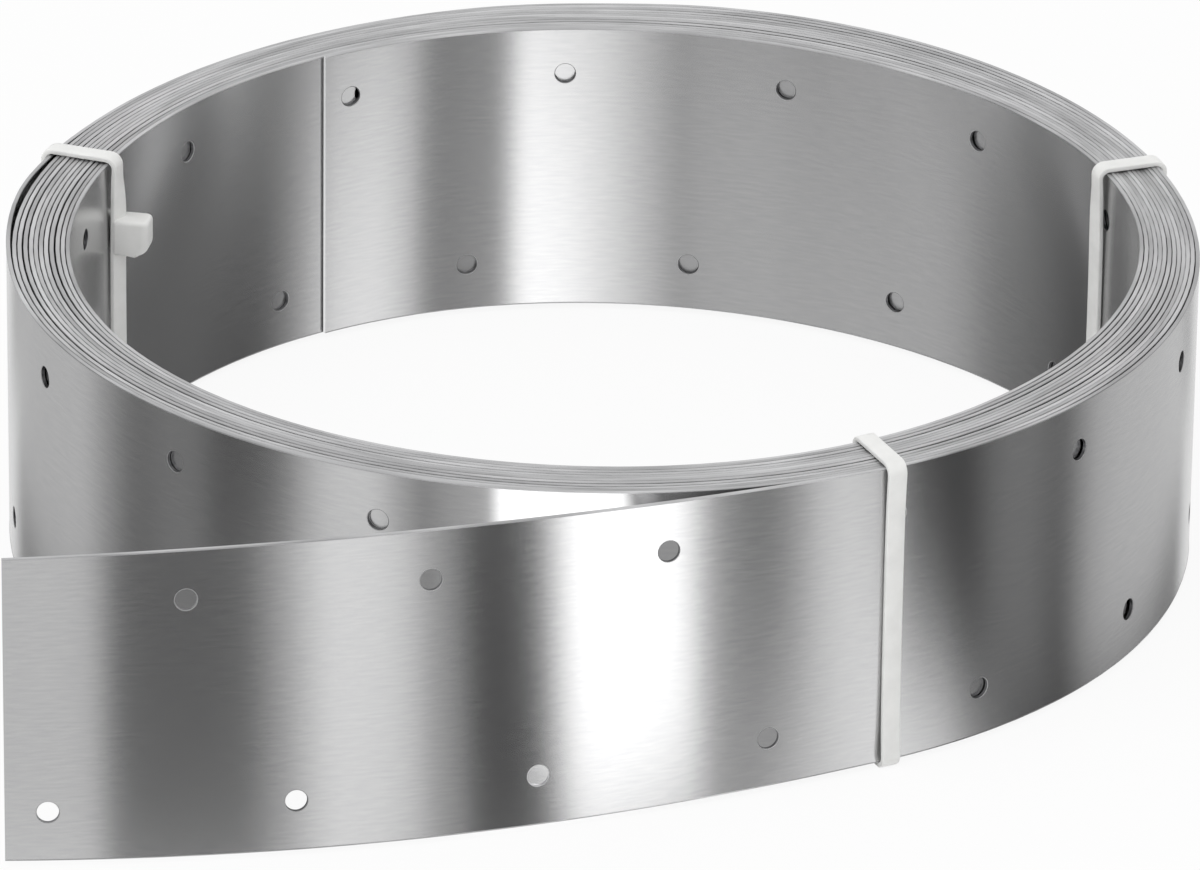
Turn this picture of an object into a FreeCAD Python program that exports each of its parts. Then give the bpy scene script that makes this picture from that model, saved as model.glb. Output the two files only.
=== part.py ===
import FreeCAD, Part
import math
import os

# Perforated steel strap, wound on edge into a coil, with its outer end lifted off and three cable ties.
# All sizes are in millimetres and all angles in degrees, counter-clockwise from +X seen from above.
# The tail points to -X on the -Y side. The origin is on the floor, under the middle of the whole part.

# The flat strap and its two staggered rows of punched holes.
STRAP_WIDTH = 76.2
STRAP_THICKNESS = 0.95
SHEAR_DROP = 0.25
HOLE_DIAMETER = 5.2
HOLE_PITCH = 57.15
HOLE_TO_EDGE = 12.3
END_TO_NEAR_HOLE = 9.3
END_TO_FAR_HOLE = 41.5

# The winding. Every turn is two half circles, and the second centre lies half a pitch from the first,
# so that the half circles join into one spiral.
BORE_RADIUS = 129.4
TURN_PITCH = 1.3
WHOLE_TURNS = 12
LIFT_OFF_ANGLE = -65.7
INNER_LEAD_ANGLE = 8.7

# The outer end, which springs away from the coil.
TAIL_STRAIGHT = 26.0
TAIL_RADIUS = 520.0
TAIL_ARC_LENGTH = 177.7

# The cable ties.
TIE_WIDTH = 4.8
TIE_THICKNESS = 1.3
TIE_CLEARANCE = 0.2
TIE_BEND = 0.6
HEAD_WIDTH = 8.0
HEAD_HEIGHT = 10.0
HEAD_DEPTH = 6.5
HEAD_ROUNDING = 1.8
LEFT_TIE_ANGLE = 160.6
RIGHT_TIE_ANGLE = 20.0
FRONT_TIE_ANGLE = -61.7
LEFT_HEAD_LEVEL = 56.0
HIDDEN_HEAD_LEVEL = 38.0

# Sizes that follow from the ones above.
AIR_GAP = TURN_PITCH - STRAP_THICKNESS
HALF_TURN = 180.0
INNER_END_ANGLE = LIFT_OFF_ANGLE + HALF_TURN
TAIL_SWEEP = math.degrees(TAIL_ARC_LENGTH / TAIL_RADIUS)


def polar(angle, radius=1.0):
    """A level vector of the given length."""
    turn = math.radians(angle)
    return FreeCAD.Vector(math.cos(turn), math.sin(turn), 0) * radius


FIRST_CENTRE = FreeCAD.Vector(0, 0, 0)
SECOND_CENTRE = polar(INNER_END_ANGLE, TURN_PITCH / 2)
FIRST_INNER = BORE_RADIUS
SECOND_INNER = BORE_RADIUS + TURN_PITCH / 2
FIRST_OUTER = FIRST_INNER + WHOLE_TURNS * TURN_PITCH + STRAP_THICKNESS
SECOND_OUTER = SECOND_INNER + (WHOLE_TURNS - 1) * TURN_PITCH + STRAP_THICKNESS
TAIL_ROOT = FIRST_CENTRE + polar(LIFT_OFF_ANGLE, FIRST_OUTER)
TAIL_BEND = TAIL_ROOT + polar(LIFT_OFF_ANGLE - 90, TAIL_STRAIGHT)
TAIL_CENTRE = TAIL_BEND - polar(LIFT_OFF_ANGLE, TAIL_RADIUS)


def turns_section(inner_radius, turns):
    """The upright section of some turns side by side. Each turn's sheared edge falls away outwards."""
    lower = []
    upper = []
    for turn in range(turns):
        inner = inner_radius + turn * TURN_PITCH
        outer = inner + (STRAP_THICKNESS if turn == turns - 1 else TURN_PITCH)
        lower += [(inner, 0), (outer, SHEAR_DROP)]
        upper += [(inner, STRAP_WIDTH), (outer, STRAP_WIDTH - SHEAR_DROP)]
    outline = lower + upper[::-1]
    points = [FreeCAD.Vector(radius, 0, level) for radius, level in outline]
    return Part.Face(Part.makePolygon(points + points[:1]))


def turned(section, centre, start, sweep):
    """The section turned about an upright axis, from the start angle by the sweep."""
    section = section.copy()
    section.rotate(FreeCAD.Vector(0, 0, 0), FreeCAD.Vector(0, 0, 1), start)
    section.translate(centre)
    return section.revolve(centre, FreeCAD.Vector(0, 0, 1), sweep)


def winding():
    """The coil: two half turnings of all the turns, and the start of the innermost turn."""
    first = turned(turns_section(FIRST_INNER, WHOLE_TURNS + 1), FIRST_CENTRE, LIFT_OFF_ANGLE, HALF_TURN)
    second = turned(turns_section(SECOND_INNER, WHOLE_TURNS), SECOND_CENTRE, INNER_END_ANGLE, HALF_TURN)
    lead_section = turns_section(SECOND_INNER - TURN_PITCH, 2)
    lead = turned(lead_section, SECOND_CENTRE, INNER_END_ANGLE, INNER_LEAD_ANGLE)
    return first.fuse([second, lead])


def tail():
    """The free end: a straight stretch along the tangent, then an even curve that turns inwards."""
    section = turns_section(FIRST_OUTER - STRAP_THICKNESS, 1)
    section.rotate(FreeCAD.Vector(0, 0, 0), FreeCAD.Vector(0, 0, 1), LIFT_OFF_ANGLE)
    straight = section.extrude(TAIL_BEND - TAIL_ROOT)
    curve_section = turns_section(TAIL_RADIUS - STRAP_THICKNESS, 1)
    curve = turned(curve_section, TAIL_CENTRE, LIFT_OFF_ANGLE, -TAIL_SWEEP)
    return straight.fuse(curve)


def arc_run(centre, radius, start, sweep):
    """A run along an arc: its length, and the point and outward direction at a distance along it."""
    length = radius * math.radians(abs(sweep))

    def at(distance):
        angle = start + sweep * distance / length
        return centre + polar(angle, radius), polar(angle)

    return length, at


def straight_run(start, end, outward):
    """A run along a straight line, like arc_run."""
    length = (end - start).Length

    def at(distance):
        return start + (end - start) * (distance / length), outward

    return length, at


def outer_face_runs():
    """The outer face from the tail's end back to where the turn below goes under the tail."""
    return [
        arc_run(TAIL_CENTRE, TAIL_RADIUS, LIFT_OFF_ANGLE - TAIL_SWEEP, TAIL_SWEEP),
        straight_run(TAIL_BEND, TAIL_ROOT, polar(LIFT_OFF_ANGLE)),
        arc_run(FIRST_CENTRE, FIRST_OUTER, LIFT_OFF_ANGLE, HALF_TURN),
        arc_run(SECOND_CENTRE, SECOND_OUTER, INNER_END_ANGLE, HALF_TURN),
    ]


def inner_face_runs():
    """The inner face from the strap's inner end once round to that end again."""
    lead_radius = SECOND_INNER - TURN_PITCH
    return [
        arc_run(SECOND_CENTRE, lead_radius, INNER_END_ANGLE + INNER_LEAD_ANGLE, -INNER_LEAD_ANGLE),
        arc_run(FIRST_CENTRE, FIRST_INNER, INNER_END_ANGLE, -HALF_TURN),
        arc_run(SECOND_CENTRE, SECOND_INNER, LIFT_OFF_ANGLE, INNER_LEAD_ANGLE - HALF_TURN),
    ]


def hole_places(runs, near_row, far_row):
    """The distance from the end, face point and outward direction of each punched hole."""
    places = []
    whole = sum(length for length, at in runs)
    for first, level in ((END_TO_NEAR_HOLE, near_row), (END_TO_FAR_HOLE, far_row)):
        distance = first
        while distance < whole - HOLE_DIAMETER:
            rest = distance
            for length, at in runs:
                if rest <= length:
                    break
                rest -= length
            point, outward = at(rest)
            places.append((distance, point + FreeCAD.Vector(0, 0, level), outward))
            distance += HOLE_PITCH
    return places


LOWER_ROW = HOLE_TO_EDGE
UPPER_ROW = STRAP_WIDTH - HOLE_TO_EDGE


def punches():
    """A round punch for every hole that shows, one strap thickness deep from either face."""
    tools = []
    for distance, point, outward in hole_places(outer_face_runs(), LOWER_ROW, UPPER_ROW):
        on_tail = distance < TAIL_ARC_LENGTH + TAIL_STRAIGHT
        depth = STRAP_THICKNESS + (AIR_GAP / 2 if on_tail else 0)
        height = depth + AIR_GAP / 2
        tools.append(Part.makeCylinder(HOLE_DIAMETER / 2, height, point - outward * depth, outward))
    for distance, point, outward in hole_places(inner_face_runs(), UPPER_ROW, LOWER_ROW):
        height = STRAP_THICKNESS + AIR_GAP / 2
        start = point - outward * (AIR_GAP / 2)
        tools.append(Part.makeCylinder(HOLE_DIAMETER / 2, height, start, outward))
    return tools


def steel_strap():
    """The whole strap as one solid."""
    return winding().fuse(tail()).cut(punches())


def wall_at(angle):
    """The centre, inner radius and outer radius of the coil's wall at an angle."""
    from_lift_off = (angle - LIFT_OFF_ANGLE) % 360
    if from_lift_off < HALF_TURN:
        return FIRST_CENTRE, FIRST_INNER, FIRST_OUTER
    return SECOND_CENTRE, SECOND_INNER, SECOND_OUTER


def rounded_block(left, right, bottom, top, depth, rounding):
    """A block with its middle at Y zero, and its four edges along Y rounded."""
    block = Part.makeBox(right - left, depth, top - bottom, FreeCAD.Vector(left, -depth / 2, bottom))
    along_y = [edge for edge in block.Edges if edge.BoundBox.YLength > depth / 2]
    return block.makeFillet(rounding, along_y)


def cable_tie(angle, head_inside, head_level):
    """One tie, tight round the coil's wall, with its locking head on the inner or the outer face."""
    centre, inner, outer = wall_at(angle)
    left = inner - TIE_CLEARANCE
    right = outer + TIE_CLEARANCE
    bottom = -TIE_CLEARANCE
    top = STRAP_WIDTH + TIE_CLEARANCE
    room = rounded_block(left, right, bottom, top, TIE_WIDTH, TIE_BEND)
    loop = rounded_block(
        left - TIE_THICKNESS, right + TIE_THICKNESS, bottom - TIE_THICKNESS, top + TIE_THICKNESS,
        TIE_WIDTH, TIE_BEND + TIE_THICKNESS)
    head_left = left - HEAD_DEPTH if head_inside else right
    head_bottom = head_level - HEAD_HEIGHT / 2
    head = rounded_block(
        head_left, head_left + HEAD_DEPTH, head_bottom, head_bottom + HEAD_HEIGHT,
        HEAD_WIDTH, HEAD_ROUNDING)
    tie = loop.cut(room).fuse(head)
    tie.rotate(FreeCAD.Vector(0, 0, 0), FreeCAD.Vector(0, 0, 1), angle)
    tie.translate(centre)
    return tie


def floor_shift(shapes):
    """The move that puts the origin on the floor under the middle of all the shapes."""
    box = Part.makeCompound(shapes).optimalBoundingBox(False, False)
    return FreeCAD.Vector(-box.Center.x, -box.Center.y, -box.ZMin)


def build():
    """Every piece by its name, in its final place."""
    parts = {
        "steel_strap": steel_strap(),
        "cable_tie_left": cable_tie(LEFT_TIE_ANGLE, True, LEFT_HEAD_LEVEL),
        "cable_tie_right": cable_tie(RIGHT_TIE_ANGLE, False, HIDDEN_HEAD_LEVEL),
        "cable_tie_front": cable_tie(FRONT_TIE_ANGLE, True, HIDDEN_HEAD_LEVEL),
    }
    shift = floor_shift(list(parts.values()))
    for shape in parts.values():
        shape.translate(shift)
    return parts, shift


os.makedirs("parts", exist_ok=True)
PARTS, SHIFT = build()
for name, shape in PARTS.items():
    shape.exportStep("parts/" + name + ".step")
    box = shape.BoundBox
    print(name, len(shape.Solids), "solid", shape.isValid(), round(shape.Volume, 1), [round(v, 2) for v in (
        box.XMin, box.XMax, box.YMin, box.YMax, box.ZMin, box.ZMax)])
print("coil axis at", round(SHIFT.x, 3), round(SHIFT.y, 3), "strap bottom at", round(SHIFT.z, 3))
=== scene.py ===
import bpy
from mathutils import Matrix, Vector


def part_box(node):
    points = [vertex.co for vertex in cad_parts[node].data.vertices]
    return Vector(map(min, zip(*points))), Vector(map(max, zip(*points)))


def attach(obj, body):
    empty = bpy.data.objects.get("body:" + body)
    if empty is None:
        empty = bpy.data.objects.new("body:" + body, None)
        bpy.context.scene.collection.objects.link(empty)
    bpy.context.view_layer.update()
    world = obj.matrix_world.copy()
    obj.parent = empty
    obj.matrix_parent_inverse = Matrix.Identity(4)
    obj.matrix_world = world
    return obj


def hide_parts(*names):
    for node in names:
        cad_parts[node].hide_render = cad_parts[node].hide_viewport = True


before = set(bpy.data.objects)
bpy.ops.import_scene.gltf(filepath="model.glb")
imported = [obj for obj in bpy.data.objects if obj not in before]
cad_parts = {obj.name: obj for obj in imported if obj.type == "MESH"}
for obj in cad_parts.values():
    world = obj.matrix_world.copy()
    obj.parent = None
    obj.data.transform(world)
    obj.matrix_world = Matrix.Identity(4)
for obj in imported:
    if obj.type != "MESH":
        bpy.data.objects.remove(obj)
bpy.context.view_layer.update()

import math

import bmesh
import bpy
import numpy as np
from mathutils import Matrix, Vector


# The strap: cold-rolled mild steel strip, slit to 76.2 mm wide, 0.95 mm thick and punched with two
# staggered rows of holes. It is wound on edge, clockwise and outwards, and its outer end springs free.
# Lengths are in millimetres, and bearings in degrees, clockwise from the back as seen from above.
MM = 0.001
STRAP_WIDTH = 76.2
STRAP_THICKNESS = 0.95
HOLE_RADIUS = 2.6
HOLE_PITCH = 57.15
HOLE_TO_EDGE = 12.3
END_TO_LOWER_HOLE = 9.9
END_TO_UPPER_HOLE = 42.1
WHOLE_TURNS = 12
INNER_END_BEARING = 327.0
LIFT_OFF_BEARING = 154.85
TAIL_LENGTH = 205.4
TAIL_RADIUS = 560.0
TAIL_LEAN = 2.8
TAIL_LEAN_START = 0.1

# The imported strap's coil reaches this far from its axis to the right, and by the offset more to the back.
COIL_OUTER_RADIUS = 145.95
WINDING_OFFSET = 1.2
strap_low, strap_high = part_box("steel_strap")
axis_x = strap_high.x / MM - COIL_OUTER_RADIUS
axis_y = strap_high.y / MM - COIL_OUTER_RADIUS - WINDING_OFFSET
coil_axis = Vector((axis_x, axis_y, 0))
strap_bottom = strap_low.z / MM
wound_angle = 360 * WHOLE_TURNS + (LIFT_OFF_BEARING - INNER_END_BEARING) % 360

# The strap was wound by hand, so the coil isn't quite round. Each wave in its bore and in the gap between
# turns is given as its size, how often it comes round the coil, and the angle of its first crest.
BORE_RADIUS = 129.1
BORE_WAVES = [(0.54, 2, 22), (0.48, 3, 85), (0.65, 4, 71)]
MEAN_GAP = 0.31
GAP_WAVES = [(0.06, 1, 354), (0.067, 2, 6), (0.11, 3, 16), (0.06, 4, 21)]
LEAST_GAP = 0.02
BACK_DIP = 0.09
BACK_DIP_SPREAD = 60

# The gap also changes from turn to turn, by a share of itself that is least at the back. It is more even
# where a turn lies on the inner end, and the outermost turn stands off the coil in front of the left tie.
UNEVEN_WAVES = [(0.5, 0.83, 60), (0.3, 2.37, 20)]
UNEVEN_SHARE = 0.6
UNEVEN_SHARE_WAVES = [(-0.35, 1, 0)]
INNER_END_CALM = 0.85
INNER_END_CALM_SPREAD = 50
INNER_END_SPRING = 0.15
INNER_END_SPRING_SPREAD = 30
STAND_OFF = 1.2
STAND_OFF_AT = 4274
STAND_OFF_SPREAD = 10


def waved(middle, angle, waves):
    """A value with waves round the coil on it."""
    for size, count, crest in waves:
        middle = middle + size * np.cos(np.radians(count * (angle - crest)))
    return middle


def hump(angle, top, spread):
    """A smooth hump, 1 high at its top, that dies away on both sides over its spread."""
    return np.exp(-((angle - top) / spread) ** 2)


def turn_pitch(wound):
    """From one turn to the next, at an angle wound from the inner end: the strap's thickness and a gap."""
    bearing = INNER_END_BEARING + wound
    from_back = (bearing + 180) % 360 - 180
    gap = waved(MEAN_GAP, bearing, GAP_WAVES) - BACK_DIP * np.exp(-from_back ** 2 / BACK_DIP_SPREAD)
    unevenness = 1 + waved(0, wound, UNEVEN_WAVES) * waved(UNEVEN_SHARE, bearing, UNEVEN_SHARE_WAVES)
    unevenness = unevenness * (1 - INNER_END_CALM * hump(wound, 360, INNER_END_CALM_SPREAD))
    stand_off = STAND_OFF * hump(wound, STAND_OFF_AT, STAND_OFF_SPREAD)
    return STRAP_THICKNESS + np.maximum(LEAST_GAP, gap * unevenness) + stand_off


def wound_radius(wound):
    """The radius of the strap's middle at an angle wound from the inner end, which springs inwards."""
    turns = np.floor(wound / 360)
    into_turn = wound - 360 * turns
    radius = waved(BORE_RADIUS, INNER_END_BEARING + into_turn, BORE_WAVES) + STRAP_THICKNESS / 2
    radius = radius + turn_pitch(360) * into_turn / 360
    for turn in range(1, WHOLE_TURNS + 1):
        radius = radius + np.where(turns >= turn, turn_pitch(into_turn + 360 * turn), 0)
    return radius - INNER_END_SPRING * np.exp(-wound / INNER_END_SPRING_SPREAD)


COIL_POINTS = 9001
TAIL_POINTS = 200


def strap_line():
    """Points along the strap's middle from its outer end to its inner end, and their distance along it."""
    wound = np.linspace(wound_angle, 0, COIL_POINTS)
    bearing = np.radians(INNER_END_BEARING + wound)
    coil = np.stack([np.sin(bearing), np.cos(bearing)], 1) * wound_radius(wound)[:, None]
    heading = coil[0] - coil[1]
    start = math.atan2(heading[1], heading[0])
    along = np.linspace(0, TAIL_LENGTH, TAIL_POINTS)
    turn = start - along / TAIL_RADIUS
    step = TAIL_LENGTH / (TAIL_POINTS - 1)
    steps = np.stack([np.cos(turn), np.sin(turn)], 1) * step
    tail = coil[0] + np.cumsum(steps, 0) - steps / 2
    points = np.concatenate([tail[::-1], coil])
    distance = np.concatenate([[0], np.cumsum(np.linalg.norm(np.diff(points, axis=0), axis=1))])
    return points, distance


line_points, line_distance = strap_line()
strap_length = line_distance[-1]
line_heading = np.gradient(line_points, line_distance, axis=0)
line_heading /= np.linalg.norm(line_heading, axis=1)[:, None]


def on_line(distance):
    """The point, heading and outward direction at distances from the strap's outer end."""
    point = np.stack([np.interp(distance, line_distance, line_points[:, i]) for i in (0, 1)], -1)
    heading = np.stack([np.interp(distance, line_distance, line_heading[:, i]) for i in (0, 1)], -1)
    heading /= np.linalg.norm(heading, axis=-1, keepdims=True)
    return point, heading, np.stack([heading[..., 1], -heading[..., 0]], -1)


def tail_lean(distance):
    """The free tail twists a little: its top leans in and its bottom out, most at its middle."""
    share = np.clip(np.asarray(distance) / TAIL_LENGTH, 0, 1)
    return TAIL_LEAN * np.sin(math.pi * (share + TAIL_LEAN_START) / (1 + TAIL_LEAN_START))


# The turns don't stand level, and each is up to 0.17 mm above or below its level. Each of these waves
# along the strap is given as its height, its length over two pi, and its phase. They grow from the tail on.
EDGE_WAVES = [(0.1, 171, 0), (0.07, 67, 1)]
EDGE_WAVES_GROWTH = 200


def edge_lift(distance):
    """How far the strap's edges are above their level at distances from its outer end."""
    wobble = sum(height * np.sin(distance / length + phase) for height, length, phase in EDGE_WAVES)
    return wobble * np.clip((distance - TAIL_LENGTH) / EDGE_WAVES_GROWTH, 0, 1)


# The punch's feed isn't quite even, so that the holes creep along the strap, off their pitch. The creep is
# given at distances from the outer end, and then at distances from the inner end.
OUTER_CREEP = [(340, 0), (860, -14.5)]
INNER_CREEP = [(780, -33.4), (240, -11.7)]


def hole_creep(distance):
    """How far the holes lie off their pitch, away from the outer end."""
    places = [place for place, creep in OUTER_CREEP] + [strap_length - place for place, creep in INNER_CREEP]
    return np.interp(distance, places, [creep for place, creep in OUTER_CREEP + INNER_CREEP])


# The sheared edge of the strap, as offsets across its thickness and down from its top. The slitting
# blades round it over and leave a slight burr on both sides, which narrows the gap between turns.
EDGE_PROFILE = [(0.475, -0.4), (0.53, -0.24), (0.46, -0.07), (0.33, 0.0),
                (-0.3, 0.0), (-0.45, -0.07), (-0.53, -0.24), (-0.475, -0.4)]

# The punch leaves a narrow rounded rim at each hole, in the middle of a square cell of the sheet. Only the
# tail and the outermost and innermost turns have holes, because nothing shows those of the turns between.
RIM_WIDTH = 0.2
RIM_DROP = 0.13
RIM_POINTS = 24
CELL = 6.0
LONGEST_STEP = 7.0
OUTER_PUNCHED = 1180.0
INNER_PUNCHED = 830.0

# The shear that cut off the inner end dragged its cut over into the bore, so its shading leans by this angle.
END_SLANT = math.radians(58)

# The places of the strap's materials on its mesh: its faces, its sheared edges, and its holes' walls.
FACE, EDGE, WALL = range(3)


def punched_holes():
    """The holes that show, as their distances from the outer end and their heights."""
    holes = []
    for first, height in ((END_TO_LOWER_HOLE, HOLE_TO_EDGE), (END_TO_UPPER_HOLE, STRAP_WIDTH - HOLE_TO_EDGE)):
        nominal = np.arange(first, strap_length + HOLE_PITCH, HOLE_PITCH)
        holes += [(distance, height) for distance in nominal + hole_creep(nominal)]
    return sorted(hole for hole in holes if hole[0] < OUTER_PUNCHED
                  or strap_length - INNER_PUNCHED < hole[0] < strap_length - CELL)


def flat_pattern():
    """The punched sheet laid flat: corners as (distance, height), polygons, hole rims and border rows."""
    corners = []
    index = {}

    def corner(distance, height):
        key = (round(distance, 4), round(height, 4))
        if key not in index:
            index[key] = len(corners)
            corners.append(key)
        return index[key]

    def block(left, right, bottom, top):
        polygons.append([corner(left, bottom), corner(right, bottom), corner(right, top), corner(left, top)])

    low = -EDGE_PROFILE[0][1]
    high = STRAP_WIDTH + EDGE_PROFILE[0][1]
    angles = [2 * math.pi * i / RIM_POINTS for i in range(RIM_POINTS)]
    square = [(math.cos(a), math.sin(a)) for a in angles]
    square = [(x / max(abs(x), abs(y)), y / max(abs(x), abs(y))) for x, y in square]
    side_places = sorted(y * CELL for x, y in square if math.isclose(x, 1))
    polygons = []
    rims = []
    columns = [0.0]
    left_levels = []
    left = 0.0
    for distance, level in punched_holes() + [(strap_length + CELL, None)]:
        right = min(distance - CELL, strap_length)
        right_levels = [level + place for place in side_places] if level else []
        count = max(1, math.ceil((right - left) / LONGEST_STEP))
        for i in range(count):
            a = left + (right - left) * i / count
            b = left + (right - left) * (i + 1) / count
            polygon = [corner(a, low), corner(b, low)]
            polygon += [corner(b, z) for z in right_levels] if i == count - 1 else []
            polygon += [corner(b, high), corner(a, high)]
            polygon += [corner(a, z) for z in reversed(left_levels)] if i == 0 else []
            polygons.append(polygon)
            columns.append(b)
        if level is None:
            break
        outer = [corner(distance + x * CELL, level + y * CELL) for x, y in square]
        reach = HOLE_RADIUS + RIM_WIDTH
        rim = [corner(distance + reach * math.cos(a), level + reach * math.sin(a)) for a in angles]
        rims.append((distance, level, rim))
        for i in range(RIM_POINTS):
            after = (i + 1) % RIM_POINTS
            polygons.append([outer[i], outer[after], rim[after], rim[i]])
        for x0, x1 in zip(side_places, side_places[1:]):
            block(distance + x0, distance + x1, low, level - CELL)
            block(distance + x0, distance + x1, level + CELL, high)
            columns.append(distance + x1)
        left = distance + CELL
        left_levels = right_levels
    bottom_row = [corner(c, low) for c in columns]
    top_row = [corner(c, high) for c in columns]
    return np.array(corners), polygons, rims, np.array(columns), bottom_row, top_row


def build_strap():
    """The flat pattern's two faces, the punched holes' walls and the sheared edges, bent along the line."""
    corners, polygons, rims, columns, bottom_row, top_row = flat_pattern()
    count = len(corners)
    half = STRAP_THICKNESS / 2
    places = []
    uvs = []
    faces = []
    normals = []
    materials = []

    def put(distance, height, across):
        """Adds points at distances along, heights and offsets across the thickness, and returns the first."""
        point, heading, outward = on_line(distance)
        first = sum(len(p) for p in places)
        lean = tail_lean(distance) * (np.asarray(height) / STRAP_WIDTH * 2 - 1)
        flat = point + outward * np.reshape(across - lean, (-1, 1))
        places.append(np.column_stack([flat, height + edge_lift(distance)]))
        uvs.append(np.column_stack([distance, height]))
        return first

    def add(face, face_normals, material):
        faces.append(face)
        normals.extend(face_normals)
        materials.append(material)

    put(corners[:, 0], corners[:, 1], np.full(count, half))
    put(corners[:, 0], corners[:, 1], np.full(count, -half))
    outward = on_line(corners[:, 0])[2]
    tilt = tail_lean(corners[:, 0]) / (STRAP_WIDTH / 2)
    out_normal = [tuple(v) for v in np.column_stack([outward, tilt])]
    in_normal = [tuple(v) for v in np.column_stack([-outward, -tilt])]
    # The line runs clockwise back along the strap, so that from outside, distance grows to the right.
    for polygon in polygons:
        add(polygon, [out_normal[i] for i in polygon], FACE)
        add([count + i for i in reversed(polygon)], [in_normal[i] for i in reversed(polygon)], FACE)
    # The punch draws the sheet's faces down round each hole, into a narrow rounded rim.
    turns = np.array([2 * math.pi * i / RIM_POINTS for i in range(RIM_POINTS)])
    for distance, level, rim in rims:
        heading = on_line(np.array(distance))[1]
        ring = (distance + HOLE_RADIUS * np.cos(turns), level + HOLE_RADIUS * np.sin(turns))
        outer_ring = put(*ring, np.full(RIM_POINTS, half - RIM_DROP))
        inner_ring = put(*ring, np.full(RIM_POINTS, RIM_DROP - half))
        inward = [(-math.cos(t) * heading[0], -math.cos(t) * heading[1], -math.sin(t)) for t in turns]
        for i in range(RIM_POINTS):
            after = (i + 1) % RIM_POINTS
            add([outer_ring + i, outer_ring + after, inner_ring + after, inner_ring + i],
                [inward[i], inward[after], inward[after], inward[i]], WALL)
            add([rim[i], rim[after], outer_ring + after, outer_ring + i],
                [out_normal[rim[i]], out_normal[rim[after]], inward[after], inward[i]], EDGE)
            add([count + rim[after], count + rim[i], inner_ring + i, inner_ring + after],
                [in_normal[rim[after]], in_normal[rim[i]], inward[i], inward[after]], EDGE)
    # Each edge is a strip of narrow faces from the outer sheet's border over to the inner sheet's.
    heading, outward = on_line(columns)[1:]
    end_lines = {}
    for row, base, sign in ((top_row, STRAP_WIDTH, 1), (bottom_row, 0.0, -1)):
        lines = [list(row)]
        for across, drop in EDGE_PROFILE[1:-1]:
            first = put(columns, np.full(len(columns), base + sign * drop), np.full(len(columns), across))
            lines.append(list(range(first, first + len(columns))))
        lines.append([count + i for i in row])
        for (u0, z0), (u1, z1), one, two in zip(EDGE_PROFILE, EDGE_PROFILE[1:], lines, lines[1:]):
            slope = math.hypot(u1 - u0, z1 - z0)
            side, up = (z1 - z0) / slope, (u0 - u1) / slope * sign
            tilted = [tuple(v) for v in np.column_stack([outward * side, np.full(len(columns), up)])]
            for i in range(len(columns) - 1):
                face = [one[i], one[i + 1], two[i + 1], two[i]]
                face_normals = [tilted[i], tilted[i + 1], tilted[i + 1], tilted[i]]
                if sign < 0:
                    face.reverse()
                    face_normals.reverse()
                add(face, face_normals, EDGE)
        for end in (0, -1):
            end_lines[sign, end] = [line[end] for line in lines]
    # The cut faces at the strap's outer and inner ends close it.
    for end, sign in ((0, -1), (-1, 1)):
        cap = end_lines[1, end] + end_lines[-1, end][::-1]
        facing = sign * heading[end]
        if end == -1:
            cap.reverse()
            facing = facing * math.cos(END_SLANT) - outward[end] * math.sin(END_SLANT)
        add(cap, [tuple(facing) + (0.0,)] * len(cap), FACE)
    return np.concatenate(places), np.concatenate(uvs), faces, normals, materials


strap_places, strap_uvs, strap_faces, strap_normals, strap_materials = build_strap()
strap_places = (strap_places + np.array([coil_axis.x, coil_axis.y, strap_bottom])) * MM
strap_mesh = bpy.data.meshes.new("wound_strap")
strap_mesh.from_pydata(strap_places.tolist(), [], strap_faces)
strap_mesh.polygons.foreach_set("material_index", strap_materials)
uv_layer = strap_mesh.uv_layers.new(name="along_strap")
loop_corners = np.zeros(len(strap_mesh.loops), int)
strap_mesh.loops.foreach_get("vertex_index", loop_corners)
uv_layer.data.foreach_set("uv", (strap_uvs[loop_corners] * MM).astype(np.float32).ravel())
strap_mesh.shade_smooth()
strap_mesh.normals_split_custom_set(strap_normals)
strap = bpy.data.objects.new("wound_strap", strap_mesh)
bpy.context.scene.collection.objects.link(strap)


def linear(srgb_hex):
    """An sRGB hex colour as linear RGBA."""
    channels = [int(srgb_hex[i:i + 2], 16) / 255 for i in (1, 3, 5)]
    return [c / 12.92 if c <= 0.04045 else ((c + 0.055) / 1.055) ** 2.4 for c in channels] + [1.0]


def add_node(tree, kind, inputs=None, **settings):
    """Adds a node with its settings, and sets or links its inputs."""
    new = tree.nodes.new(kind)
    for name, value in settings.items():
        setattr(new, name, value)
    for name, value in (inputs or {}).items():
        if isinstance(value, bpy.types.NodeSocket):
            tree.links.new(value, new.inputs[name])
        else:
            new.inputs[name].default_value = value
    return new


def new_material(name):
    """A material with an empty node tree and its output."""
    material = bpy.data.materials.new(name)
    material.use_nodes = True
    material.node_tree.nodes.clear()
    return material, material.node_tree, material.node_tree.nodes.new("ShaderNodeOutputMaterial")


# Most of a noise texture's values lie between these two.
NOISE_LOW = 0.3
NOISE_HIGH = 0.7

# Cold-rolled steel with a fine brushed finish: the rolls and the brush leave fine lines along the strip,
# so that reflections stay narrow along it and spread out up and down it. The real lines are about 0.1 mm
# apart and too fine to show, so they are drawn as coarse as they need to show. The rolls also leave
# shallow ripples.
ROLL_LINE_LENGTH = 6.0
ROLL_LINE_SPACING = 0.75
RIPPLE_LENGTH = 6.0
RIPPLE_HEIGHT = 1.6
RIPPLE_DEPTH = 0.008


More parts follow.
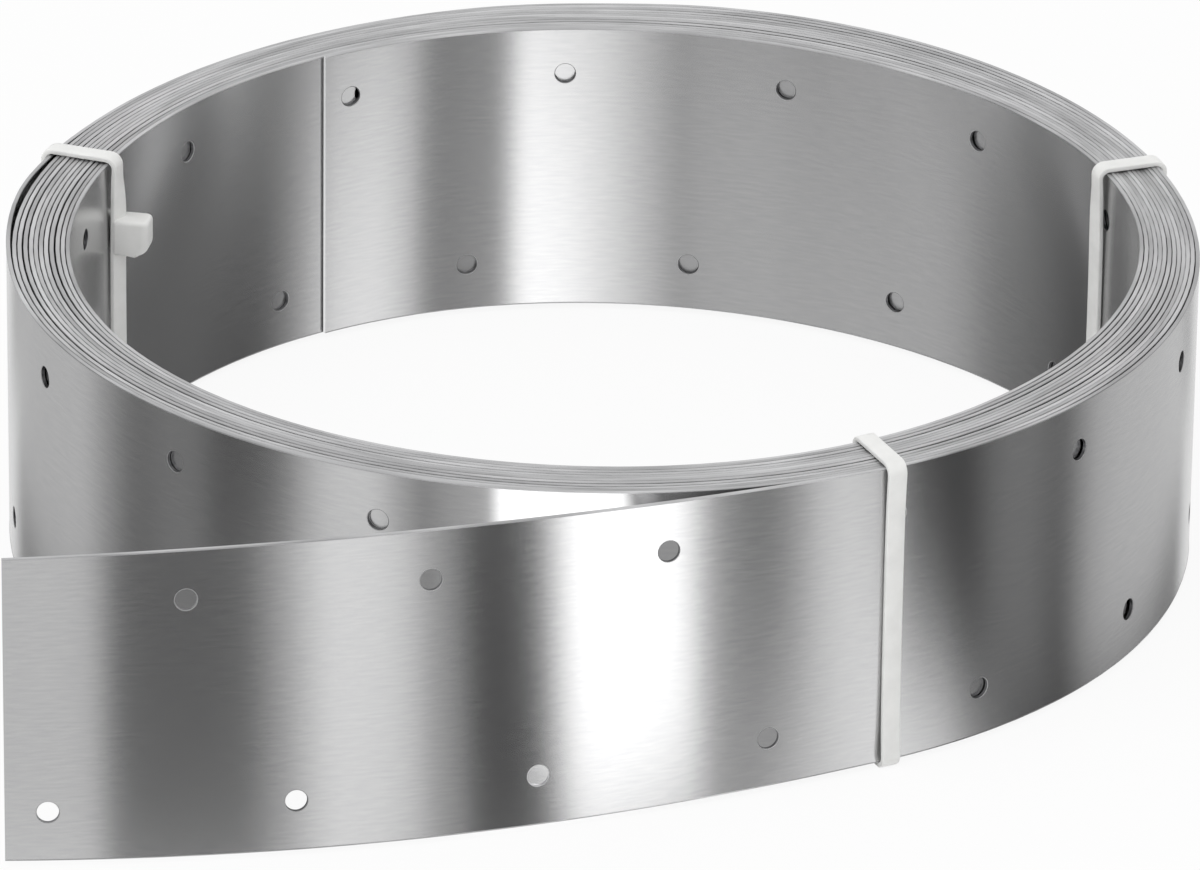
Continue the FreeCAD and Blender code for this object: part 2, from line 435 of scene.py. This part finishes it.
def cold_rolled_steel():
    """The strap's two faces, and the cuts at its ends, which are too narrow to show a finish."""
    material, tree, output = new_material("cold_rolled_steel_brushed")
    along = add_node(tree, "ShaderNodeUVMap", uv_map="along_strap").outputs["UV"]
    lines = add_node(tree, "ShaderNodeMapping", {
        "Vector": along, "Scale": (1 / (ROLL_LINE_LENGTH * MM), 1 / (ROLL_LINE_SPACING * MM), 1)})
    line_noise = add_node(tree, "ShaderNodeTexNoise", {
        "Vector": lines.outputs["Vector"], "Scale": 1.0, "Detail": 3.0, "Roughness": 0.6})
    ripples = add_node(tree, "ShaderNodeMapping", {
        "Vector": along, "Scale": (1 / (RIPPLE_LENGTH * MM), 1 / (RIPPLE_HEIGHT * MM), 1)})
    ripple_noise = add_node(tree, "ShaderNodeTexNoise", {
        "Vector": ripples.outputs["Vector"], "Scale": 1.0, "Detail": 2.0, "Roughness": 0.5})
    tone = add_node(tree, "ShaderNodeValToRGB", {"Fac": line_noise.outputs["Fac"]})
    tone.color_ramp.elements[0].position = NOISE_LOW
    tone.color_ramp.elements[0].color = linear("#c8c8c9")
    tone.color_ramp.elements[1].position = NOISE_HIGH
    tone.color_ramp.elements[1].color = linear("#cfcfcf")
    roughness = add_node(tree, "ShaderNodeMapRange", {
        "Value": line_noise.outputs["Fac"], "From Min": NOISE_LOW, "From Max": NOISE_HIGH,
        "To Min": 0.24, "To Max": 0.25})
    bump = add_node(tree, "ShaderNodeBump", {
        "Height": ripple_noise.outputs["Fac"], "Strength": 1.0, "Distance": RIPPLE_DEPTH * MM})
    tangent = add_node(tree, "ShaderNodeTangent", direction_type="UV_MAP", uv_map="along_strap")
    shader = add_node(tree, "ShaderNodeBsdfPrincipled", {
        "Base Color": tone.outputs["Color"], "Metallic": 1.0, "Roughness": roughness.outputs["Result"],
        "Anisotropic": 0.83, "Anisotropic Rotation": 0.25,
        "Normal": bump.outputs["Normal"], "Tangent": tangent.outputs["Tangent"]})
    tree.links.new(shader.outputs["BSDF"], output.inputs["Surface"])
    return material


# Steel torn by the slitting blades: the grain lies across the edge and changes in patches along it, so
# that the turns' edges look pale and satin beside the mirroring faces.
EDGE_PATCH = 30.0


def sheared_steel():
    """The slit edges, and the rims that the punch rolls round the holes."""
    material, tree, output = new_material("sheared_steel_edge")
    along = add_node(tree, "ShaderNodeUVMap", uv_map="along_strap").outputs["UV"]
    patches = add_node(tree, "ShaderNodeMapping", {
        "Vector": along, "Scale": (1 / (EDGE_PATCH * MM), 1 / (EDGE_PATCH * MM), 1)})
    patch_noise = add_node(tree, "ShaderNodeTexNoise", {
        "Vector": patches.outputs["Vector"], "Scale": 1.0, "Detail": 3.0, "Roughness": 0.45})
    tone = add_node(tree, "ShaderNodeValToRGB", {"Fac": patch_noise.outputs["Fac"]})
    tone.color_ramp.elements[0].position = NOISE_LOW
    tone.color_ramp.elements[0].color = linear("#a4a4a5")
    tone.color_ramp.elements[1].position = NOISE_HIGH
    tone.color_ramp.elements[1].color = linear("#cfcfd0")
    shader = add_node(tree, "ShaderNodeBsdfPrincipled", {
        "Base Color": tone.outputs["Color"], "Metallic": 1.0, "Roughness": 0.42})
    tree.links.new(shader.outputs["BSDF"], output.inputs["Surface"])
    return material


# Punched steel: the punch burnishes half of a hole's wall and tears the rest. The walls' colour is painted
# dark, as painted shade inside the holes. The torn grain is drawn coarser than it is, so that it shows.
TORN_GRAIN = 1.11


def punched_steel():
    """The holes' walls, painted dark as shade."""
    material, tree, output = new_material("punched_steel_wall_painted_shade")
    place = add_node(tree, "ShaderNodeTexCoord").outputs["Object"]
    noise = add_node(tree, "ShaderNodeTexNoise", {
        "Vector": place, "Scale": 1 / (TORN_GRAIN * MM), "Detail": 2.0})
    tone = add_node(tree, "ShaderNodeValToRGB", {"Fac": noise.outputs["Fac"]})
    tone.color_ramp.elements[0].position = NOISE_LOW
    # Dark grey tones: painted shade on the holes' walls, mottled at random by the torn grain.
    tone.color_ramp.elements[0].color = linear("#5c5c5e")
    tone.color_ramp.elements[1].position = NOISE_HIGH
    tone.color_ramp.elements[1].color = linear("#88888a")
    shader = add_node(tree, "ShaderNodeBsdfPrincipled", {
        "Base Color": tone.outputs["Color"], "Metallic": 1.0, "Roughness": 0.4})
    tree.links.new(shader.outputs["BSDF"], output.inputs["Surface"])
    return material


# The order of these is that of FACE, EDGE and WALL.
strap_mesh.materials.append(cold_rolled_steel())
strap_mesh.materials.append(sheared_steel())
strap_mesh.materials.append(punched_steel())
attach(strap, "root")
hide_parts("steel_strap")


# The cable ties: moulded from natural nylon, 4.8 mm wide, pulled tight round the coil's wall. The band
# goes round the wall's section and through the head, where it is cut off flush. It is too stiff for the
# wall's sharp corners, and stands off the wall near them.
TIE_WIDTH = 4.8
TIE_THICKNESS = 1.3
TIE_GAP = 0.15
TIE_BEND = 1.7
TIE_STAND_OFF = 0.8
STAND_OFF_LENGTH = 9.0
BAND_EDGE = 0.35
TWIST_LENGTH = 7.0
BEND_STEPS = 8
RUN_STEPS = 24
BAND_EDGE_STEPS = 3
HEAD_WIDTH = 7.6
HEAD_HEIGHT = 9.2
HEAD_DEPTH = 8.9
HEAD_ROUNDING = 1.0
HEAD_ROUNDING_STEPS = 4
HEAD_FRONT_ROUNDING = 1.8
HEAD_FRONT_STEPS = 6
HEAD_NOSE_ROUNDING = 3.2
HEAD_NOSE_STEPS = 8
HEAD_TURN = 9.0
HEAD_ASIDE = 1.3
SAME_PLACE = 0.1
CORNER_ANGLE = math.radians(50)
SMOOTH_ANGLE = math.radians(40)


def wall_radii(bearing):
    """The inner and the outer radius of the coil's wall at a bearing."""
    into_turn = (bearing - INNER_END_BEARING) % 360
    back = (LIFT_OFF_BEARING - bearing) % 360
    inner = wound_radius(np.array(into_turn)) - STRAP_THICKNESS / 2
    outer = wound_radius(np.array(wound_angle - back)) + STRAP_THICKNESS / 2
    return float(inner), float(outer)


def band_path(inner, outer, twist):
    """The band's middle line round the wall's section, as (radius, height), outward direction and twist.
    Only the run inside the coil is twisted."""
    reach = TIE_GAP + TIE_THICKNESS / 2
    radius = TIE_BEND + TIE_THICKNESS / 2
    left, right = inner - reach - TIE_STAND_OFF + radius, outer + reach + TIE_STAND_OFF - radius
    bottom, top = radius - reach, STRAP_WIDTH + reach - radius
    path = []
    for x, z, start in ((right, top, 0), (left, top, 90), (left, bottom, 180), (right, bottom, 270)):
        for step in range(BEND_STEPS + 1):
            turn = math.radians(start + 90 * step / BEND_STEPS)
            direction = (math.cos(turn), math.sin(turn))
            path.append(((x + radius * direction[0], z + radius * direction[1]), direction, 0.0))
        if start in (90, 270):
            side = math.cos(math.radians(start + 90))
            run_twist = math.radians(twist) if side < 0 else 0.0
            for step in range(1, RUN_STEPS):
                height = z + (top + bottom - 2 * z) * step / RUN_STEPS
                from_end = min(height - bottom, top - height)
                settled = 1 - math.exp(-from_end / STAND_OFF_LENGTH)
                turned = run_twist * (1 - math.exp(-(from_end / TWIST_LENGTH) ** 2))
                bow = TIE_STAND_OFF * settled - TIE_WIDTH / 2 * abs(math.sin(turned))
                path.append(((x + side * (radius - bow), height), (side, 0.0), turned))
    return path


def band_section():
    """The band's section as offsets across its width and its thickness, with rounded corners."""
    points = []
    for x, y, start in ((1, 1, 0), (-1, 1, 90), (-1, -1, 180), (1, -1, 270)):
        for step in range(BAND_EDGE_STEPS + 1):
            turn = math.radians(start + 90 * step / BAND_EDGE_STEPS)
            points.append((x * (TIE_WIDTH / 2 - BAND_EDGE) + BAND_EDGE * math.cos(turn),
                           y * (TIE_THICKNESS / 2 - BAND_EDGE) + BAND_EDGE * math.sin(turn)))
    return points


def build_band(mesh, inner, outer, twist):
    """A closed band swept round the wall's section, in the plane of radius (x) and height (z)."""
    section = band_section()
    rings = []
    for (x, z), (dx, dz), turned in band_path(inner, outer, twist):
        offsets = [(width * math.cos(turned) - depth * math.sin(turned),
                    depth * math.cos(turned) + width * math.sin(turned)) for width, depth in section]
        rings.append([mesh.verts.new((x + dx * depth, width, z + dz * depth)) for width, depth in offsets])
    for ring, following in zip(rings, rings[1:] + rings[:1]):
        for i in range(len(section)):
            j = (i + 1) % len(section)
            mesh.faces.new((ring[i], following[i], following[j], ring[j]))


def corner_edges(mesh):
    """The edges at which a mesh still has a sharp corner."""
    return [edge for edge in mesh.edges if edge.calc_face_angle(0) > CORNER_ANGLE]


def round_edges(mesh, edges, radius, steps):
    """Rounds some edges of a mesh."""
    bmesh.ops.bevel(mesh, geom=edges, offset=radius, segments=steps, profile=0.5, affect="EDGES")


def runs_up(edge):
    """Whether an edge of the head runs up or down at one place across it."""
    one, two = edge.verts
    return abs(one.co.y - two.co.y) < SAME_PLACE < abs(one.co.z - two.co.z)


def build_head(mesh, face, side, level, turned, aside):
    """The locking head on the wall: a rounded block, well rounded below its nose. It may sit turned on
    the band and aside of its middle, and its back stays clear of the wall."""
    made = bmesh.ops.create_cube(mesh, size=1)
    for vertex in made["verts"]:
        vertex.co = (vertex.co.x * HEAD_DEPTH, vertex.co.y * HEAD_WIDTH, vertex.co.z * HEAD_HEIGHT)
    nose = [edge for edge in mesh.edges if all(v.co.x * side > 0 and v.co.z < 0 for v in edge.verts)]
    round_edges(mesh, nose, HEAD_NOSE_ROUNDING, HEAD_NOSE_STEPS)
    front = [edge for edge in corner_edges(mesh)
             if runs_up(edge) and all(v.co.x * side > 0 for v in edge.verts)]
    round_edges(mesh, front, HEAD_FRONT_ROUNDING, HEAD_FRONT_STEPS)
    round_edges(mesh, corner_edges(mesh), HEAD_ROUNDING, HEAD_ROUNDING_STEPS)
    clear = HEAD_DEPTH / 2 * math.cos(turned) + HEAD_WIDTH / 2 * abs(math.sin(turned))
    for vertex in mesh.verts:
        x, y, z = vertex.co
        vertex.co = (face + side * clear + x * math.cos(turned) - y * math.sin(turned),
                     y * math.cos(turned) + x * math.sin(turned) - aside, level + z)


def tie_part(name, build, *measures):
    """An object of one part of a tie, built in the plane of radius and height."""
    mesh = bmesh.new()
    build(mesh, *measures)
    data = bpy.data.meshes.new(name)
    mesh.to_mesh(data)
    mesh.free()
    part = bpy.data.objects.new(name, data)
    bpy.context.scene.collection.objects.link(part)
    return part


def cable_tie(name, bearing, side, level, twist, skew):
    """One tie on the wall at a bearing. Side is -1 with the head inside the coil and 1 outside. The
    inner run's twist is in degrees, and the skew is how far the outer run lies aside of the inner run."""
    inner, outer = wall_radii(bearing)
    face = inner - TIE_GAP if side < 0 else outer + TIE_GAP
    # A head on a twisted run turns and shifts with it.
    turned, aside = (math.radians(HEAD_TURN), HEAD_ASIDE) if side < 0 and twist else (0.0, 0.0)
    tie = tie_part(name, build_band, inner, outer, twist)
    head = tie_part(name + "_head", build_head, face, side, level, turned, aside)
    union = tie.modifiers.new("join", "BOOLEAN")
    union.operation = "UNION"
    union.solver = "EXACT"
    union.object = head
    bpy.context.view_layer.update()
    evaluated = tie.evaluated_get(bpy.context.evaluated_depsgraph_get())
    joined = bpy.data.meshes.new_from_object(evaluated)
    tie.modifiers.clear()
    bpy.data.objects.remove(head)
    turn = math.radians(90 - bearing)
    for vertex in joined.vertices:
        x, y, z = vertex.co
        y += skew * (x - (inner + outer) / 2) / (outer - inner)
        across = (x * math.cos(turn) - y * math.sin(turn), x * math.sin(turn) + y * math.cos(turn))
        vertex.co = Vector((across[0] + coil_axis.x, across[1] + coil_axis.y, z + strap_bottom)) * MM
    joined.shade_smooth()
    joined.set_sharp_from_angle(angle=SMOOTH_ANGLE)
    tie.data = joined
    return tie


# Nylon 6.6 without pigment, moulded: milky white and slightly glossy, and a little light passes into it,
# so that its edges look soft.
MOULD_MOTTLE = 5.56
MOULD_BUMP = 0.1
LIGHT_DEPTH = 3.0


def natural_nylon():
    """The ties' bands and heads."""
    material, tree, output = new_material("natural_nylon_moulded")
    place = add_node(tree, "ShaderNodeTexCoord").outputs["Object"]
    noise = add_node(tree, "ShaderNodeTexNoise", {
        "Vector": place, "Scale": 1 / (MOULD_MOTTLE * MM), "Detail": 3.0})
    tone = add_node(tree, "ShaderNodeValToRGB", {"Fac": noise.outputs["Fac"]})
    tone.color_ramp.elements[0].position = NOISE_LOW
    tone.color_ramp.elements[0].color = linear("#ececea")
    tone.color_ramp.elements[1].position = NOISE_HIGH
    tone.color_ramp.elements[1].color = linear("#f5f5f3")
    bump = add_node(tree, "ShaderNodeBump", {
        "Height": noise.outputs["Fac"], "Strength": 0.3, "Distance": MOULD_BUMP * MM})
    shader = add_node(tree, "ShaderNodeBsdfPrincipled", {
        "Base Color": tone.outputs["Color"], "Roughness": 0.38, "IOR": 1.53,
        "Subsurface Weight": 0.5, "Subsurface Radius": (LIGHT_DEPTH * MM,) * 3,
        "Normal": bump.outputs["Normal"]})
    tree.links.new(shader.outputs["BSDF"], output.inputs["Surface"])
    return material


nylon = natural_nylon()
for name, bearing, side, level, twist, skew in (
        ("cable_tie_left", 289.4, -1, 56.6, -20, 0.0),
        ("cable_tie_right", 70.0, 1, 38.0, 10, 0.0),
        ("cable_tie_front", 151.95, -1, 38.0, 0, -0.9)):
    tie = cable_tie("nylon_" + name, bearing, side, level, twist, skew)
    tie.data.materials.append(nylon)
    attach(tie, "root")
    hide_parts(name)


# The cards of the studio: glowing cards, bright with dark stripes, stand round the strap out of the camera's
# sight. Only reflections see them and they cast no shadow, so their glow paints the bands of light and dark
# that the steel mirrors: painted reflections. Each card is a list of places along it with the brightness
# there, and between two places the brightness runs evenly.
def glowing_card(name, edges, brightness):
    """A card between its bottom and top edges' points, which glows as bright as each place says."""
    mesh = bpy.data.meshes.new(name)
    corners = [(coil_axis + Vector(point)) * MM for edge in edges for point in edge]
    faces = [(2 * i, 2 * i + 2, 2 * i + 3, 2 * i + 1) for i in range(len(edges) - 1)]
    mesh.from_pydata(corners, [], faces)
    glow_layer = mesh.attributes.new("glow", "FLOAT", "POINT")
    glow_layer.data.foreach_set("value", np.repeat(brightness, 2))
    material, tree, output = new_material(name)
    # The glow's strength at each place paints the reflection that the steel shows there.
    strength = add_node(tree, "ShaderNodeAttribute", attribute_name="glow").outputs["Fac"]
    glow = add_node(tree, "ShaderNodeEmission", {"Strength": strength})
    tree.links.new(glow.outputs["Emission"], output.inputs["Surface"])
    mesh.materials.append(material)
    card = bpy.data.objects.new(name, mesh)
    bpy.context.scene.collection.objects.link(card)
    card.visible_camera = False
    card.visible_diffuse = False
    card.visible_transmission = False
    card.visible_shadow = False


# The near cards stand left, in front and right of the coil, and the outer face mirrors them.
CARD_BOTTOM = -60.0
CARD_TOP = 110.0
CARD_X = 235.0
CARD_Y = -270.0
LEFT_CARD = [
    (220, 0.3), (180, 0.5), (130, 0.62), (20, 0.65), (-22, 0.7), (-40, 0.45), (-70, 0.17), (-100, 0.25),
    (-126, 0.25), (-146, 0.09), (-180, 0.11), (-205, 0.2), (-235, 0.6), (-256, 0.9), (-270, 0.9)]
FRONT_CARD = [
    (-235, 1.0), (-150, 0.75), (-100, 0.77), (-92, 0.14), (-50, 0.14), (-36, 0.55), (-22, 1.15), (0, 1.08),
    (10, 0.9), (14, 0.5), (27, 0.4), (30, 0.02), (60, 0.02), (74, 2.2), (130, 2.2), (137, 0.25),
    (155, 0.25), (165, 0.06), (182, 0.06), (198, 0.4), (212, 1.05), (235, 1.05)]
RIGHT_CARD = [
    (-270, 0.95), (-256, 0.82), (-228, 0.2), (-212, 0.04), (-158, 0.04), (-130, 0.24), (-102, 0.26),
    (-74, 0.12), (-60, 0.32), (-46, 0.55), (-20, 0.67), (120, 0.75), (164, 0.42), (220, 0.3)]
near_points = [(-CARD_X, y, glow) for y, glow in LEFT_CARD]
near_points += [(x, CARD_Y, glow) for x, glow in FRONT_CARD]
near_points += [(CARD_X, y, glow) for y, glow in RIGHT_CARD]
glowing_card("near_cards", [((x, y, CARD_BOTTOM), (x, y, CARD_TOP)) for x, y, glow in near_points],
             [glow for x, y, glow in near_points])

# The far card stands round the front, below the floor's level, and the bore mirrors it. Its places are
# angles from straight ahead.
FAR_RADIUS = 1500.0
FAR_BOTTOM = -1700.0
FAR_TOP = -80.0
FAR_CARD = [
    (-150, 0.2), (-132, 0.08), (-105, 0.22), (-96, 0.27), (-84, 0.58), (-60, 0.64), (-24, 0.57), (-20, 0.4),
    (-16, 0.7), (-8, 1.1), (0, 1.45), (6, 1.85), (18, 2.0), (21, 0.5), (25, 0.3), (30, 0.4), (36, 0.25),
    (42, 0.25), (47, 1.0), (56, 1.4), (68, 1.3), (74, 0.7), (80, 0.32), (88, 0.06), (100, 0.08),
    (112, 0.14), (130, 0.15), (150, 0.12)]
far_angles = np.array(sorted({angle for angle, glow in FAR_CARD} | set(range(-150, 151, 5))))
far_points = FAR_RADIUS * np.stack([np.sin(np.radians(far_angles)), -np.cos(np.radians(far_angles))], 1)
glowing_card("far_cards", [((x, y, FAR_BOTTOM), (x, y, FAR_TOP)) for x, y in far_points.tolist()],
             np.interp(far_angles, *zip(*FAR_CARD)))

# The tail's card stands behind the free tail and leans with it. Its glow paints a bright reflection on the
# coil behind it, where that face would otherwise mirror the tail's dark back. Its places are distances from
# the strap's outer end. It is lower where the tail nears the coil.
TAIL_CARD = [
    (0, 0.9), (42, 0.9), (60, 0.53), (74, 0.3), (84, 0.42), (104, 0.6), (110, 2.3), (145, 2.3),
    (150, 0.45), (190, 0.45)]
TAIL_CARD_GAP = 1.0
TAIL_CARD_STEP = (146, 152)
TAIL_CARD_LOW_TOP = 67
card_places = np.array(sorted({place for place, glow in TAIL_CARD} | set(range(0, 191, 10))), float)
card_outward = on_line(card_places)[2]
card_lean = card_outward * tail_lean(card_places)[:, None]
card_point = on_line(card_places)[0] - card_outward * (STRAP_THICKNESS / 2 + TAIL_CARD_GAP)
card_top = strap_bottom + np.interp(card_places, TAIL_CARD_STEP, (STRAP_WIDTH, TAIL_CARD_LOW_TOP))
card_sides = zip((card_point + card_lean).tolist(), (card_point - card_lean).tolist(), card_top.tolist())
glowing_card("tail_card", [((*low, strap_bottom), (*high, top)) for low, high, top in card_sides],
             np.interp(card_places, *zip(*TAIL_CARD)))


# The floor: matt white paper, large enough to fill the picture. The camera sees it mostly as plain white,
# with a soft shadow under the coil, and the steel doesn't mirror it.
FLOOR_HALF = 6.0
FLOOR_GLOW_SHARE = 0.9
floor_mesh = bpy.data.meshes.new("floor")
floor_mesh.from_pydata([(-FLOOR_HALF, -FLOOR_HALF, 0), (FLOOR_HALF, -FLOOR_HALF, 0),
                        (FLOOR_HALF, FLOOR_HALF, 0), (-FLOOR_HALF, FLOOR_HALF, 0)], [], [(0, 1, 2, 3)])
floor = bpy.data.objects.new("floor", floor_mesh)
bpy.context.scene.collection.objects.link(floor)
floor_material, tree, output = new_material("white_floor")
paint = add_node(tree, "ShaderNodeBsdfDiffuse", {"Color": linear("#fafafa")})
glow = add_node(tree, "ShaderNodeEmission", {"Strength": 1.0})
seen = add_node(tree, "ShaderNodeLightPath")
share = add_node(tree, "ShaderNodeMath", {
    0: seen.outputs["Is Camera Ray"], 1: FLOOR_GLOW_SHARE}, operation="MULTIPLY")
mixed = add_node(tree, "ShaderNodeMixShader", {
    0: share.outputs["Value"], 1: paint.outputs["BSDF"], 2: glow.outputs["Emission"]})
tree.links.new(mixed.outputs["Shader"], output.inputs["Surface"])
floor_mesh.materials.append(floor_material)
floor.visible_glossy = False


# The light: an even white sky, which is pure white to the camera, in reflections and through what is
# see-through, and a soft box above the front left.
SKY_LIGHT = 0.75
world = bpy.data.worlds.new("studio")
bpy.context.scene.world = world
world.use_nodes = True
tree = world.node_tree
tree.nodes.clear()
seen = add_node(tree, "ShaderNodeLightPath")
either = add_node(tree, "ShaderNodeMath", {
    0: seen.outputs["Is Camera Ray"], 1: seen.outputs["Is Glossy Ray"]}, operation="MAXIMUM")
any_of = add_node(tree, "ShaderNodeMath", {
    0: either.outputs["Value"], 1: seen.outputs["Is Transmission Ray"]}, operation="MAXIMUM")
soft = add_node(tree, "ShaderNodeBackground", {"Color": linear("#ffffff"), "Strength": SKY_LIGHT})
white = add_node(tree, "ShaderNodeBackground", {"Color": linear("#ffffff"), "Strength": 1.0})
mixed = add_node(tree, "ShaderNodeMixShader", {
    0: any_of.outputs["Value"], 1: soft.outputs["Background"], 2: white.outputs["Background"]})
add_node(tree, "ShaderNodeOutputWorld", {"Surface": mixed.outputs["Shader"]})

LAMP_WIDTH = 1200.0
LAMP_DEPTH = 800.0
LAMP_PLACE = (-500.0, -700.0, 1300.0)
LAMP_AIM = (0.0, 0.0, 40.0)
LAMP_POWER = 6.0
lamp_data = bpy.data.lights.new("soft_box", "AREA")
lamp_data.shape = "RECTANGLE"
lamp_data.size = LAMP_WIDTH * MM
lamp_data.size_y = LAMP_DEPTH * MM
lamp_data.energy = LAMP_POWER
lamp = bpy.data.objects.new("soft_box", lamp_data)
bpy.context.scene.collection.objects.link(lamp)
lamp.location = Vector(LAMP_PLACE) * MM
lamp.rotation_euler = (Vector(LAMP_AIM) * MM - lamp.location).to_track_quat("-Z", "Y").to_euler()
lamp.visible_glossy = False


# The camera stands in front of the coil, 24.7 degrees above level, and rolled by 0.75 degrees. Its focal
# length and the coil's middle are measured in pixels of a picture of this size.
PICTURE_WIDTH = 1200
PICTURE_HEIGHT = 870
CAMERA_FOCAL_PIXELS = 11102.2
COIL_MIDDLE_PIXEL = (602.6, 380.3)
CAMERA_DISTANCE = 2705.2
CAMERA_ELEVATION = 24.69
CAMERA_ROLL = 0.75
SENSOR_WIDTH = 36.0
NEAREST_SEEN = 100.0
FARTHEST_SEEN = 30000.0
camera_data = bpy.data.cameras.new("camera")
camera = bpy.data.objects.new("camera", camera_data)
bpy.context.scene.collection.objects.link(camera)
bpy.context.scene.camera = camera
camera_data.sensor_width = SENSOR_WIDTH
camera_data.lens = CAMERA_FOCAL_PIXELS / PICTURE_WIDTH * SENSOR_WIDTH
camera_data.clip_start = NEAREST_SEEN * MM
camera_data.clip_end = FARTHEST_SEEN * MM
elevation = math.radians(CAMERA_ELEVATION)
roll = math.radians(CAMERA_ROLL)
coil_middle = (coil_axis + Vector((0, 0, strap_bottom + STRAP_WIDTH / 2))) * MM
forward = Vector((0, math.cos(elevation), -math.sin(elevation)))
camera.location = coil_middle - forward * CAMERA_DISTANCE * MM
level_right = Vector((1, 0, 0))
level_up = level_right.cross(forward)
right = level_right * math.cos(roll) + level_up * math.sin(roll)
up = -level_right * math.sin(roll) + level_up * math.cos(roll)
# The coil's middle isn't in the middle of the picture, so the view turns until it falls on its pixel.
aside = (PICTURE_WIDTH / 2 - COIL_MIDDLE_PIXEL[0]) / CAMERA_FOCAL_PIXELS
above = (COIL_MIDDLE_PIXEL[1] - PICTURE_HEIGHT / 2) / CAMERA_FOCAL_PIXELS
view = (forward + right * aside + up * above).normalized()
right = view.cross(up).normalized()
up = right.cross(view)
camera.rotation_euler = Matrix((right, up, -view)).transposed().to_euler()

bpy.context.scene.view_settings.view_transform = "Standard"
